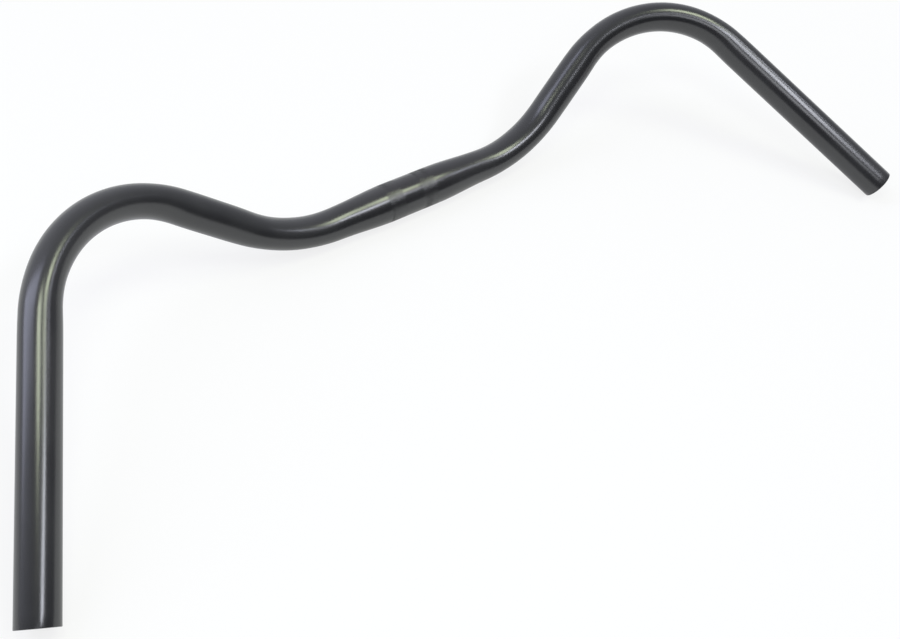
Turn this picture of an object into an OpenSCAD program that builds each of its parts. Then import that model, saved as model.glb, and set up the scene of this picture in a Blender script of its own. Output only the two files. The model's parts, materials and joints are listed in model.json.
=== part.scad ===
// Swept-back bicycle handlebar: one aluminium tube, swelled in the middle for
// the stem and bent twice on each side. Millimetres.
// The origin is the centre of the clamp. X runs along the clamp to the right,
// Y points ahead and Z up. The bar is pitched about X as it lies on a level
// surface, on its swelled middle and the rims of its two open ends.

/* [Tube] */
// Outside diameter of the tube, the size that grips and levers slide over
tube_d = 22.2; // [20:0.1:24]
// Thickness of the wall
wall = 2; // [1.4:0.1:3]
// How much bending squeezes the tube: its radius in the bends is less by this,
// outside and in the bore
bend_squeeze = 0.05; // [0.02:0.01:0.2]
// Width of the chamfer on the outer edge of each open end
edge_chamfer = 0.4; // [0.1:0.1:0.8]

/* [Clamp] */
// Diameter of the swelled middle that the stem holds
clamp_d = 26; // [25:0.1:32]
// Length of the middle over which that diameter is constant
clamp_len = 36; // [24:1:60]
// Length of each taper from the clamp down to the tube
taper_len = 42; // [20:1:60]

/* [Rise bends] */
// Angle that each side turns ahead and up where its taper ends
rise_angle = 37.5; // [25:0.5:50]
// Radius of this bend, to the middle of the tube
rise_radius = 100; // [70:1:130]
// Length of the straight tube from the rise bend to the grip bend
shoulder_len = 46; // [20:1:80]

/* [Grip bends] */
// Twist from the plane of the rise bend to the plane of the grip bend
bend_twist = 144; // [130:1:160]
// Angle that each side turns back towards the rider
grip_angle = 95.5; // [80:0.5:105]
// Radius of this bend, to the middle of the tube
grip_radius = 75; // [50:1:95]
// Length of the straight tube that carries the grip, to its open end
grip_len = 156; // [120:1:200]

/* [Hidden] */

// Segments of a full circle
$fn = 96;

tube_r = tube_d / 2;
clamp_r = clamp_d / 2;

// From the centre of the clamp to the end of a taper, where the rise bend starts
middle_half = clamp_len / 2 + taper_len;

// Straight steps in the outline of a taper
taper_steps = 14;

// How far the bore runs on past an open end, so that it cuts the end through
past_end = 1;

// Places along one taper, from the clamp outwards
taper_x = [for (i = [0 : taper_steps]) clamp_len / 2 + taper_len * i / taper_steps];

// Outside radius at each of those places: the taper leaves the clamp and meets
// the tube without a corner
taper_r = [for (i = [0 : taper_steps])
    tube_r + (clamp_r - tube_r) * (1 + cos(180 * i / taper_steps)) / 2];

// The tube's course is followed from the clamp to the right-hand open end, while
// the rise bend is still level: first the direction of the shoulder, then the
// direction towards the centre of the grip bend, then that of the grip
shoulder_dir = [cos(rise_angle), sin(rise_angle), 0];
grip_turn = [
    -sin(rise_angle) * cos(bend_twist),
    cos(rise_angle) * cos(bend_twist),
    sin(bend_twist)
];
grip_dir = shoulder_dir * cos(grip_angle) + grip_turn * sin(grip_angle);

rise_end = [middle_half + rise_radius * sin(rise_angle), rise_radius * (1 - cos(rise_angle)), 0];
grip_start = rise_end + shoulder_dir * (shoulder_len + grip_radius * sin(grip_angle))
    + grip_turn * grip_radius * (1 - cos(grip_angle));
end_centre = grip_start + grip_dir * grip_len;

// Height of a direction or a place once the bar is pitched
function height(v, pitch) = v[1] * sin(pitch) + v[2] * cos(pitch);

// Lowest point of a circle of radius r about the grip's axis
function circle_low(centre, r, pitch) =
    height(centre, pitch) - r * sqrt(1 - pow(height(grip_dir, pitch), 2));

// Lowest point of an open end, on either edge of its chamfer
function end_low(pitch) = min(
    circle_low(end_centre, tube_r - edge_chamfer, pitch),
    circle_low(end_centre - grip_dir * edge_chamfer, tube_r, pitch)
);

// The bar lies still at the pitch where its ends are as low as its clamp. The
// bounds are halved this many times: ends up at the first, ends down at the second
halvings = 40;
pitch_bounds = [0, 90];
function rest_pitch(up, down, left) =
    let (half_way = (up + down) / 2)
    left == 0 ? half_way
        : end_low(half_way) > -clamp_r ? rest_pitch(half_way, down, left - 1)
        : rest_pitch(up, half_way, left - 1);
pitch = rest_pitch(pitch_bounds[0], pitch_bounds[1], halvings);

// Lays a round form that stands on Z along X, so that its surface starts on the
// outside of the bend that follows
module lay() {
    rotate([-90, 0, -90])
        children();
}

// Solid middle, from one taper's end to the other's, thinner by inset all round
module middle(inset) {
    right = [for (i = [0 : taper_steps]) [taper_r[i] - inset, taper_x[i]]];
    left = [for (i = [taper_steps : -1 : 0]) [taper_r[i] - inset, -taper_x[i]]];
    lay()
        rotate_extrude()
            polygon(concat([[0, -middle_half]], left, right, [[0, middle_half]]));
}

// Solid round bar along X, with what follows it placed at its far end
module straight(length, r) {
    lay()
        cylinder(h = length, r = r);
    translate([length, 0, 0])
        children();
}

// Solid bend from X towards Y, with what follows it placed at its far end
module bend(radius, angle, r) {
    translate([0, radius, 0])
        rotate([0, 0, -90])
            rotate_extrude(angle = angle)
                translate([radius, 0])
                    circle(r = r);
    translate([radius * sin(angle), radius * (1 - cos(angle)), 0])
        rotate([0, 0, angle])
            children();
}

// Solid course of the right side from its taper to its open end, where what
// follows is placed
module side(r) {
    bend_r = r - bend_squeeze;
    translate([middle_half, 0, 0])
        bend(rise_radius, rise_angle, bend_r)
            straight(shoulder_len, r)
                rotate([bend_twist, 0, 0])
                    bend(grip_radius, grip_angle, bend_r)
                        straight(grip_len - edge_chamfer, r)
                            children();
}

// A thing on the right, and its mirror image on the left
module both_sides() {
    children();
    mirror([1, 0, 0])
        children();
}

// The tube's outer form, with chamfered ends
module outside() {
    middle(0);
    both_sides()
        side(tube_r)
            lay()
                cylinder(h = edge_chamfer, r1 = tube_r, r2 = tube_r - edge_chamfer);
}

// The bore, from one open end to the other
module bore() {
    bore_r = tube_r - wall;
    middle(wall);
    both_sides()
        side(bore_r)
            straight(edge_chamfer + past_end, bore_r);
}

// The whole bar
module handlebar() {
    color([0.2, 0.2, 0.21])
        rotate([pitch, 0, 0])
            difference() {
                outside();
                bore();
            }
}

handlebar();
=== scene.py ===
import json
import math
from collections import namedtuple

import bpy
import numpy as np
from mathutils import Matrix, Vector


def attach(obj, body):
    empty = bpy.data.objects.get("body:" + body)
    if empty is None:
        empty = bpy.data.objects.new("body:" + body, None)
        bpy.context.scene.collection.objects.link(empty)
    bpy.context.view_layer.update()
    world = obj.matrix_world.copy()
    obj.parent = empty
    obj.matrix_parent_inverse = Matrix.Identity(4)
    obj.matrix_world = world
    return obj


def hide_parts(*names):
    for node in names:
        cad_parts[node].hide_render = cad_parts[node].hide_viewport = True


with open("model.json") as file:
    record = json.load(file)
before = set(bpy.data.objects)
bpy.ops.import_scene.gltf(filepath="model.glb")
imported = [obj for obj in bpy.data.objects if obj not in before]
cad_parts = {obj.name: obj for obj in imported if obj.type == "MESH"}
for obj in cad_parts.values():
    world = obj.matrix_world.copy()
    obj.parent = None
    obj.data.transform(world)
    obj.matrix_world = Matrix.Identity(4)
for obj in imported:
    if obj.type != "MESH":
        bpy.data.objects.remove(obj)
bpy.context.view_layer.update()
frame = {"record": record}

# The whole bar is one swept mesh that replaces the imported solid. It adds what a
# solid of arcs can't show: a tube flattened in its bends, and real knurling.
# Everything is in metres. X runs along the clamp, Y ahead and Z up.

MM = 0.001

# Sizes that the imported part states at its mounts
mounts = {mount["name"]: mount for mount in frame["record"]["mounts"]}
clamp_r = mounts["stem_clamp"]["dims"]["r_mm"] * MM
clamp_len = mounts["stem_clamp"]["dims"]["length_mm"] * MM
tube_r = mounts["grip_right"]["dims"]["r_mm"] * MM
bore_r = mounts["end_bore_right"]["dims"]["r_mm"] * MM
grip_len = mounts["end_bore_right"]["dims"]["length_mm"] * MM
grip_axis = Vector(mounts["end_bore_right"]["axis"])
grip_middle = Vector(mounts["end_bore_right"]["pos_m"])

# The rest of the course, as the part has it
taper_len = 42 * MM
rise_angle = math.radians(37.5)
rise_radius = 100 * MM
shoulder_len = 46 * MM
bend_twist = math.radians(144)
grip_angle = math.radians(95.5)
grip_radius = 75 * MM
middle_half = clamp_len / 2 + taper_len

# Rounding of the cut ends, on the outside and in the bore, and the rings that it
# has. One more ring, at 1.2 times the rounding, keeps the cut flat in its shading.
edge_round = 0.4 * MM
bore_edge_round = 0.15 * MM
edge_rings = 5
flat_start = 1.2

# Bending flattens the tube in the plane of the bend and spreads it across. It sets
# in a little before each bend and dies away a little after it.
rise_flattening = 0.08
grip_flattening = 0.09
spread_share = 0.6
flattening_reach = 12 * MM
flattening_ramp = 34 * MM

# Knurling: two bands of diamonds round the clamp, which lie a little to the left
# of the middle in the photo. At a flank slope of 3, the flank of a groove takes a
# third of the way up to the middle of a diamond, and the rest is its flat top.
knurl_middle = -4.4 * MM
knurl_gap = 14 * MM
knurl_width = 12 * MM
knurl_depth = 0.16 * MM
knurl_fade = 0.7 * MM
flank_slope = 3.0
diamonds_round = 64
steps_per_diamond = 6

# Facets round the tube, and how far each ring of them runs along it
coarse_columns = 96
fine_columns = diamonds_round * steps_per_diamond
bore_columns = 48
bend_step = math.radians(1.25)
bore_bend_step = math.radians(3)
straight_step = 6 * MM
bore_straight_step = 3 * straight_step
middle_step = 2 * MM
bore_middle_step = 2 * middle_step
knurl_step = 2 * math.pi * clamp_r / fine_columns

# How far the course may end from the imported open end, and how far a count of steps
# may be off a whole number
end_slack = 0.2 * MM
count_slack = 1e-9

# The coat's two shades of black, its roughness and how far that varies either way,
# and the metal that shows in the bore, with what it adds to the roughness
coat_dark = (0.009, 0.009, 0.0105, 1)
coat_light = (0.016, 0.016, 0.0175, 1)
coat_roughness = 0.24
roughness_change = 0.02
coat_ior = 1.7
bore_metal = (0.56, 0.56, 0.57, 1)
bore_added_roughness = 0.1

# The marks on them, as noise with so many waves to the metre: broad clouds, the
# grain of blasting, and the lines that drawing leaves along the bore. The grain has
# a share in the mottled shades, and the lines have one in the roughness. Each of the
# two mixes is then cut to the range in which it changes most.
cloud_scale = 28.0
grain_scale = 2200.0
grain_detail = 3.0
line_scale = 1500.0
line_stretch = (0.02, 1, 1)
mottle_grain_share = 0.5
mottle_range = (0.5, 1.0)
worn_line_share = 0.4
worn_range = (0.4, 1.0)

# How high the grain stands, how many times that the lines do, and how strongly both
# turn the light
grain_relief = 0.02 * MM
line_relief = 3.0
bump_strength = 0.08

# Depths in an open end between which the coat thins out, and how far they wander
bare_start = 14 * MM
bare_end = 34 * MM
bare_wander = 12 * MM

# The stage: half the floor's side, its colour, the share of it that is plain white
# where it is seen and what is left of that share in a reflection, the background's
# white, and the light from all round, which grows from dim to bright towards sky_way
floor_half = 40.0
floor_colour = (0.8, 0.8, 0.8, 1)
floor_glow = 0.8
reflected_glow = 0.6
background_white = (0.98, 0.98, 0.98, 1)
sky_way = (0, 1, 0)
sky_dim = (0.072, 0.074, 0.08, 1)
sky_bright = (0.86, 0.88, 0.96, 1)

# The photo's camera, as the bar's outline in it gives it, with the lens and frame in
# millimetres
camera_place = (-0.33537, -0.38985, 0.50232)
camera_heading = math.radians(-45.68)
camera_elevation = math.radians(50.62)
camera_roll = math.radians(12.71)
camera_lens = 42.24
camera_frame = 36

# A stretch of the course has one bend radius, which is infinite where it is straight.
# Its place and turn are those at its start. A turn's columns are the tube's
# direction, the way to the bend's centre, and the normal of the bend's plane.
Stretch = namedtuple("Stretch", "start length radius flattening place turn")

# Places of the middle and of the two bends among the course's stretches
middle_stretch = 0
rise_bend = 1
grip_bend = 3


class Course:
    """The right half of the tube's centreline, from the clamp to the open end."""

    def __init__(self, turn):
        self.place = Vector((0, 0, 0))
        self.turn = turn
        self.length = 0.0
        self.stretches = []

    def add(self, length, radius=math.inf, flattening=0.0):
        """Adds a stretch to the end of the course."""
        stretch = Stretch(self.length, length, radius, flattening, self.place, self.turn)
        self.stretches.append(stretch)
        self.place, self.turn = self.follow(stretch, length)
        self.length += length

    def twist(self, angle):
        """Turns the plane of the next bend about the tube."""
        self.turn = self.turn @ Matrix.Rotation(angle, 3, "X")

    @staticmethod
    def follow(stretch, distance):
        """Place and turn at a distance from a stretch's start."""
        radius, turn = stretch.radius, stretch.turn
        if math.isinf(radius):
            return stretch.place + turn @ Vector((distance, 0, 0)), turn
        angle = distance / radius
        offset = Vector((radius * math.sin(angle), radius * (1 - math.cos(angle)), 0))
        return stretch.place + turn @ offset, turn @ Matrix.Rotation(angle, 3, "Z")


def make_course(pitch):
    """The bar's course with its rise bends pitched up from the level by an angle."""
    course = Course(Matrix.Rotation(pitch, 3, "X"))
    course.add(middle_half)
    course.add(rise_radius * rise_angle, rise_radius, rise_flattening)
    course.add(shoulder_len)
    course.twist(bend_twist)
    course.add(grip_radius * grip_angle, grip_radius, grip_flattening)
    course.add(grip_len)
    return course


def rest_pitch():
    """The pitch at which the course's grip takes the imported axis."""
    level = make_course(0).turn @ Vector((1, 0, 0))
    return math.atan2(grip_axis.z, grip_axis.y) - math.atan2(level.z, level.y)


def steps(start, end, step):
    """Places from start up to end, but without it, at most a step apart."""
    count = max(1, math.ceil((end - start) / step - count_slack))
    return list(np.linspace(start, end, count, endpoint=False))


def middle_radius(x):
    """Outside radius of the swelled middle, at a distance from its centre."""
    share = min(1.0, max(0.0, (abs(x) - clamp_len / 2) / taper_len))
    return tube_r + (clamp_r - tube_r) * (1 + math.cos(math.pi * share)) / 2


def knurl_bands():
    """The two bands' ends along X."""
    for side in (-1, 1):
        middle = knurl_middle + side * (knurl_gap + knurl_width) / 2
        yield middle - knurl_width / 2, middle + knurl_width / 2


def smooth_step(share):
    """Goes from 0 to 1 as the share does, without a kink at either end."""
    share = np.clip(share, 0, 1)
    return share * share * (3 - 2 * share)


def knurl_cut(x, angles):
    """Depth of the knurling at x and at some angles round the clamp.

    Two families of grooves wind round the clamp, one each way, and cross. What
    they leave between them are diamonds with flat tops.
    """
    inside = max(min(x - low, high - x) for low, high in knurl_bands())
    if inside <= 0:
        return np.zeros_like(angles)
    pitch = 2 * math.pi * clamp_r / diamonds_round
    turn = angles / (2 * math.pi) * diamonds_round
    tops = [1 - abs(2 * np.mod(turn + way * x / pitch, 1) - 1) for way in (-1, 1)]
    height = smooth_step(flank_slope * np.minimum(*tops))
    return knurl_depth * (1 - height) * smooth_step(inside / knurl_fade)


def flattening_at(bend, distance):
    """How much of its depth in the plane of a bend the tube loses at a distance."""
    inside = min(distance - bend.start, bend.start + bend.length - distance)
    share = smooth_step((inside + flattening_reach) / flattening_ramp)
    return bend.flattening * float(share)


def twisted():
    """The turn of a section from the frame of the rise bend to that of the grip bend."""
    cosine, sine = math.cos(bend_twist), math.sin(bend_twist)
    return np.array(((cosine, sine), (-sine, cosine)))


def section_at(course, index, distance, radius, angles):
    """Points of a ring round the right half of the tube, in one stretch of it.

    The angles are counted from the frame at the clamp, carried along without
    twist, so that the columns of the mesh run straight.
    """
    stretch = course.stretches[index]
    place, turn = Course.follow(stretch, distance - stretch.start)
    section = radius * np.stack((np.cos(angles), np.sin(angles)))
    for bend, own in ((rise_bend, np.eye(2)), (grip_bend, twisted())):
        flat = flattening_at(course.stretches[bend], distance)
        squeeze = np.diag((1 - flat, 1 + spread_share * flat))
        section = own.T @ squeeze @ own @ section
    if index >= grip_bend:
        section = twisted() @ section
    return section.T @ np.array((turn.col[1], turn.col[2])) + np.array(place)


class Skin:
    """A mesh that grows ring by ring along the tube, and back through its bore.

    Each point also keeps its place on the tube as it was before it was bent, and
    its depth in the bore, for the coat to follow.
    """

    def __init__(self, course):
        self.course = course
        self.points = []
        self.unbent = []
        self.depths = []
        self.faces = []
        self.first = None
        self.last = None
        self.count = 0

    def grow(self, station, columns, side, inside=False):
        """Adds a ring at a station, which is a stretch, a distance and a radius."""
        index, distance, radius = station
        angles = np.arange(columns) / columns * 2 * math.pi
        if index == middle_stretch and not inside:
            radius = radius - knurl_cut(side * distance, angles)
        points = section_at(self.course, index, distance, radius, angles)
        points[:, 0] *= side
        self.points.append(points)
        across = (tube_r * np.cos(angles), tube_r * np.sin(angles))
        self.unbent.append(np.stack((np.full(columns, side * distance), *across), 1))
        self.depths.append(np.full(columns, inside * (self.course.length - distance)))
        ring = np.arange(columns) + self.count
        self.count += columns
        if self.last is None:
            self.first = ring
        else:
            self.join(self.last, ring)
        self.last = ring

    def join(self, old, new):
        """Fills in between two rings, whose counts may differ by a whole factor."""
        factor = max(len(old), len(new)) // min(len(old), len(new))
        fine, coarse = (new, old) if len(new) > len(old) else (old, new)
        for k in range(len(coarse)):
            corner, next_corner = coarse[k], coarse[(k + 1) % len(coarse)]
            near = [fine[(k * factor + j) % len(fine)] for j in range(factor + 1)]
            if factor == 1:
                fan = [(corner, next_corner, near[1], near[0])]
            else:
                half = factor // 2
                fan = [(corner, near[j + 1], near[j]) for j in range(half)]
                fan += [(next_corner, near[j + 1], near[j]) for j in range(half, factor)]
                fan.append((corner, next_corner, near[half]))
            if fine is not new:
                fan = [tuple(reversed(face)) for face in fan]
            self.faces += fan

    def close(self):
        """Joins the last ring to the first."""
        self.join(self.last, self.first)

    def mesh(self, name):
        """The finished mesh, with what the coat follows as attributes."""
        mesh = bpy.data.meshes.new(name)
        mesh.from_pydata(np.vstack(self.points).tolist(), [], self.faces)
        unbent = mesh.attributes.new("unbent", "FLOAT_VECTOR", "POINT")
        unbent.data.foreach_set("vector", np.vstack(self.unbent).ravel())
        depth = mesh.attributes.new("bore_depth", "FLOAT", "POINT")
        depth.data.foreach_set("value", np.concatenate(self.depths))
        mesh.shade_smooth()
        return mesh


def side_stations(course, radius, rounding, turn_step, run_step):
    """Stations from the end of the middle out to an open end and its rounded edge.

    The rounding is negative for an edge that widens, as the bore's does.
    """
    stations = []
    last = len(course.stretches) - 1
    edge = course.length - abs(rounding)
    for index, stretch in enumerate(course.stretches[1:], 1):
        step = run_step if math.isinf(stretch.radius) else turn_step * stretch.radius
        end = edge if index == last else stretch.start + stretch.length
        places = steps(stretch.start, end, step)
        stations += [(index, distance, radius) for distance in places]
    for turn in np.linspace(0, math.pi / 2, edge_rings):
        distance = edge + abs(rounding) * math.sin(turn)
        stations.append((last, distance, radius - rounding * (1 - math.cos(turn))))
    stations.append((last, course.length, radius - rounding * flat_start))
    return stations


def middle_places():
    """Places along the swelled middle, with the columns that each ring has there."""
    bands = list(knurl_bands())
    low, high = bands[0][0] - knurl_step, bands[1][1] + knurl_step
    places = [(x, coarse_columns) for x in steps(-middle_half, low, middle_step)]
    places += [(x, fine_columns) for x in steps(low, bands[0][1], knurl_step)]
    places += [(x, fine_columns) for x in steps(bands[0][1], bands[1][0], middle_step)]
    places += [(x, fine_columns) for x in steps(bands[1][0], high, knurl_step)]
    places += [(x, coarse_columns) for x in steps(high, middle_half, middle_step)]
    # The first ring belongs to the left side already
    return places[1:]


def build_bar():
    """The bar as one closed skin: out along the tube, in at one end, back in its bore."""
    course = make_course(rest_pitch())
    miss = (course.place - grip_middle - grip_axis * grip_len / 2).length
    if miss > end_slack:
        raise ValueError(f"the course ends {miss / MM:.2f} mm from the packed open end")

    skin = Skin(course)
    outside = side_stations(course, tube_r, edge_round, bend_step, straight_step)
    inside = side_stations(
        course, bore_r, -bore_edge_round, bore_bend_step, bore_straight_step
    )
    for station in reversed(outside):
        skin.grow(station, coarse_columns, -1)
    for x, columns in middle_places():
        station = (middle_stretch, abs(x), middle_radius(x))
        skin.grow(station, columns, math.copysign(1, x))
    for station in outside:
        skin.grow(station, coarse_columns, 1)
    for station in reversed(inside):
        skin.grow(station, bore_columns, 1, inside=True)
    wall = tube_r - bore_r
    for x in reversed(steps(-middle_half, middle_half, bore_middle_step)[1:]):
        station = (middle_stretch, abs(x), middle_radius(x) - wall)
        skin.grow(station, bore_columns, math.copysign(1, x), inside=True)
    for station in inside:
        skin.grow(station, bore_columns, -1, inside=True)
    skin.close()

    bar = bpy.data.objects.new("handlebar_tube", skin.mesh("handlebar_tube"))
    bpy.context.scene.collection.objects.link(bar)
    return bar


class Nodes:
    """Short ways to make the nodes of a material or the world."""

    def __init__(self, tree):
        self.tree = tree

    def make(self, kind, **inputs):
        """A node of a kind, with its inputs set to values or linked to sockets."""
        node = self.tree.nodes.new("ShaderNode" + kind)
        for name, value in inputs.items():
            self.feed(node.inputs[name], value)
        return node

    def feed(self, socket, value):
        """Sets a socket to a value, or links it to another socket."""
        if isinstance(value, bpy.types.NodeSocket):
            self.tree.links.new(value, socket)
        else:
            socket.default_value = value

    def math(self, operation, *values):
        """What an operation makes of some values."""
        node = self.make("Math")
        node.operation = operation
        for socket, value in zip(node.inputs, values):
            self.feed(socket, value)
        return node.outputs[0]

    def ramp(self, value, low, high, to_low=0.0, to_high=1.0):
        """A value taken smoothly from one range to another."""
        node = self.make("MapRange")
        node.interpolation_type = "SMOOTHSTEP"
        for name, number in (("Value", value), ("From Min", low), ("From Max", high)):
            self.feed(node.inputs[name], number)
        node.inputs["To Min"].default_value = to_low
        node.inputs["To Max"].default_value = to_high
        return node.outputs[0]

    def blend(self, share, first, second):
        """A colour that goes from the first to the second."""
        node = self.make("Mix")
        node.data_type = "RGBA"
        # Its sockets go by number, as those for colours share their names with others
        for index, value in ((0, share), (6, first), (7, second)):
            self.feed(node.inputs[index], value)
        return node.outputs[2]

    def noise(self, place, scale, detail=2.0, stretch=(1, 1, 1)):
        """Noise of some scale per metre, drawn out along the axes that stretch lowers."""
        mapping = self.make("Mapping", Vector=place)
        mapping.inputs["Scale"].default_value = stretch
        node = self.make("TexNoise", Vector=mapping.outputs[0], Scale=scale, Detail=detail)
        return node.outputs[0]


def black_coat():
    """Satin black on blasted aluminium, which thins out inside the open ends.

    Its marks follow the tube as it was before it was bent: "unbent" gives the
    place along it and across it, and "bore_depth" how far in from an open end.
    """
    material = bpy.data.materials.new("black_coat")
    material.use_nodes = True
    nodes = Nodes(material.node_tree)
    shader = material.node_tree.nodes["Principled BSDF"]
    shader.inputs["IOR"].default_value = coat_ior

    unbent = nodes.make("Attribute")
    unbent.attribute_name = "unbent"
    place = unbent.outputs["Vector"]
    depth = nodes.make("Attribute")
    depth.attribute_name = "bore_depth"

    cloud = nodes.noise(place, cloud_scale)
    grain = nodes.noise(place, grain_scale, grain_detail)
    lines = nodes.noise(place, line_scale, stretch=line_stretch)
    wander = nodes.math("MULTIPLY", cloud, bare_wander)
    bare = nodes.ramp(nodes.math("ADD", depth.outputs["Fac"], wander), bare_start, bare_end)

    mottle = nodes.math("ADD", cloud, nodes.math("MULTIPLY", grain, mottle_grain_share))
    coat = nodes.blend(nodes.ramp(mottle, *mottle_range), coat_dark, coat_light)
    nodes.feed(shader.inputs["Base Color"], nodes.blend(bare, coat, bore_metal))
    nodes.feed(shader.inputs["Metallic"], bare)

    worn = nodes.math("ADD", cloud, nodes.math("MULTIPLY", lines, worn_line_share))
    least, most = coat_roughness - roughness_change, coat_roughness + roughness_change
    rough = nodes.ramp(worn, *worn_range, least, most)
    rough = nodes.math("ADD", rough, nodes.math("MULTIPLY", bare, bore_added_roughness))
    nodes.feed(shader.inputs["Roughness"], rough)

    drawn = nodes.math("MULTIPLY", lines, nodes.math("MULTIPLY", bare, line_relief))
    bump = nodes.make("Bump", Height=nodes.math("ADD", grain, drawn))
    bump.inputs["Strength"].default_value = bump_strength
    bump.inputs["Distance"].default_value = grain_relief
    nodes.feed(shader.inputs["Normal"], bump.outputs[0])
    return material


def pale_floor():
    """White where it is seen, but for the shadow that the bar throws on it.

    What the camera sees of it, straight or in something glossy or clear, is
    partly plain white, and the rest of it takes the light and the shadow.
    """
    material = bpy.data.materials.new("pale_floor")
    material.use_nodes = True
    nodes = Nodes(material.node_tree)
    shader = material.node_tree.nodes["Principled BSDF"]
    shader.inputs["Base Color"].default_value = floor_colour
    shader.inputs["Roughness"].default_value = 1
    shader.inputs["Specular IOR Level"].default_value = 0
    rays = nodes.make("LightPath").outputs
    reflected = nodes.math("MULTIPLY", rays["Is Glossy Ray"], reflected_glow)
    seen = nodes.math("MAXIMUM", rays["Is Camera Ray"], reflected)
    seen = nodes.math("MAXIMUM", seen, rays["Is Transmission Ray"])
    mix = nodes.make("MixShader", Fac=nodes.math("MULTIPLY", seen, floor_glow))
    nodes.feed(mix.inputs[1], shader.outputs[0])
    nodes.feed(mix.inputs[2], nodes.make("Emission").outputs[0])
    output = material.node_tree.nodes["Material Output"]
    nodes.feed(output.inputs["Surface"], mix.outputs[0])
    return material


def make_floor():
    """A pale floor that the bar lies on, level with the underside of its clamp."""
    mesh = bpy.data.meshes.new("floor")
    signs = ((-1, -1), (1, -1), (1, 1), (-1, 1))
    corners = [(x * floor_half, y * floor_half, -clamp_r) for x, y in signs]
    mesh.from_pydata(corners, [], [(0, 1, 2, 3)])
    mesh.materials.append(pale_floor())
    floor = bpy.data.objects.new("floor", mesh)
    bpy.context.scene.collection.objects.link(floor)


def make_lamp(name, place, width, height, radiance):
    """A flat lamp that faces the bar, with its face's red, green and blue radiance."""
    data = bpy.data.lights.new(name, "AREA")
    data.shape = "RECTANGLE"
    data.size = width
    data.size_y = height
    data.energy = max(radiance) * math.pi * width * height
    data.color = [part / max(radiance) for part in radiance]
    lamp = bpy.data.objects.new(name, data)
    lamp.location = place
    lamp.rotation_euler = (-Vector(place)).to_track_quat("-Z", "Y").to_euler()
    lamp.visible_camera = False
    bpy.context.scene.collection.objects.link(lamp)


def make_lights():
    """Where the bar's highlights in the photo say that its lights were."""
    make_lamp("ceiling_lamp", (2.1, -0.95, 5.0), 1.6, 1.4, (8.6, 9.4, 6.9))
    make_lamp("near_window", (1.7, -3.15, 5.0), 2.4, 0.85, (12.0, 12.3, 13.6))
    make_lamp("far_window", (-1.5, -4.9, 5.0), 2.4, 1.5, (3.6, 3.7, 3.9))
    make_lamp("left_window", (-2.6, 1.85, 2.7), 1.7, 4.0, (2.35, 2.45, 3.15))
    make_lamp("right_lamp", (1.63, -0.76, 1.87), 0.35, 0.3, (7.0, 7.2, 8.4))
    make_lamp("left_lamp", (-0.29, -0.17, 0.85), 0.22, 0.2, (9.8, 10.6, 8.2))


def make_world():
    """Soft light from all round, brighter beyond the bar, and a white background."""
    world = bpy.data.worlds.new("world")
    world.use_nodes = True
    nodes = Nodes(world.node_tree)
    facing = nodes.make("VectorMath")
    facing.operation = "DOT_PRODUCT"
    nodes.feed(facing.inputs[0], nodes.make("TexCoord").outputs["Generated"])
    facing.inputs[1].default_value = sky_way
    # From between -1 and 1 to between 0 and 1
    share = nodes.math("MULTIPLY_ADD", facing.outputs["Value"], 0.5, 0.5)
    sky = nodes.blend(share, sky_dim, sky_bright)
    seen = nodes.make("LightPath").outputs["Is Camera Ray"]
    colour = nodes.blend(seen, sky, background_white)
    nodes.feed(world.node_tree.nodes["Background"].inputs["Color"], colour)
    bpy.context.scene.world = world


def make_camera():
    """The photo's view."""
    data = bpy.data.cameras.new("camera")
    data.sensor_width = camera_frame
    data.lens = camera_lens
    camera = bpy.data.objects.new("camera", data)
    turn = Matrix.Rotation(camera_heading, 4, "Z")
    turn = turn @ Matrix.Rotation(math.pi / 2 - camera_elevation, 4, "X")
    turn = turn @ Matrix.Rotation(camera_roll, 4, "Z")
    camera.matrix_world = Matrix.Translation(camera_place) @ turn
    bpy.context.scene.collection.objects.link(camera)
    bpy.context.scene.camera = camera


bar = build_bar()
bar.data.materials.append(black_coat())
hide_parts("handlebar")
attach(bar, "root")
make_floor()
make_lights()
make_world()
make_camera()
bpy.context.scene.view_settings.view_transform = "Standard"
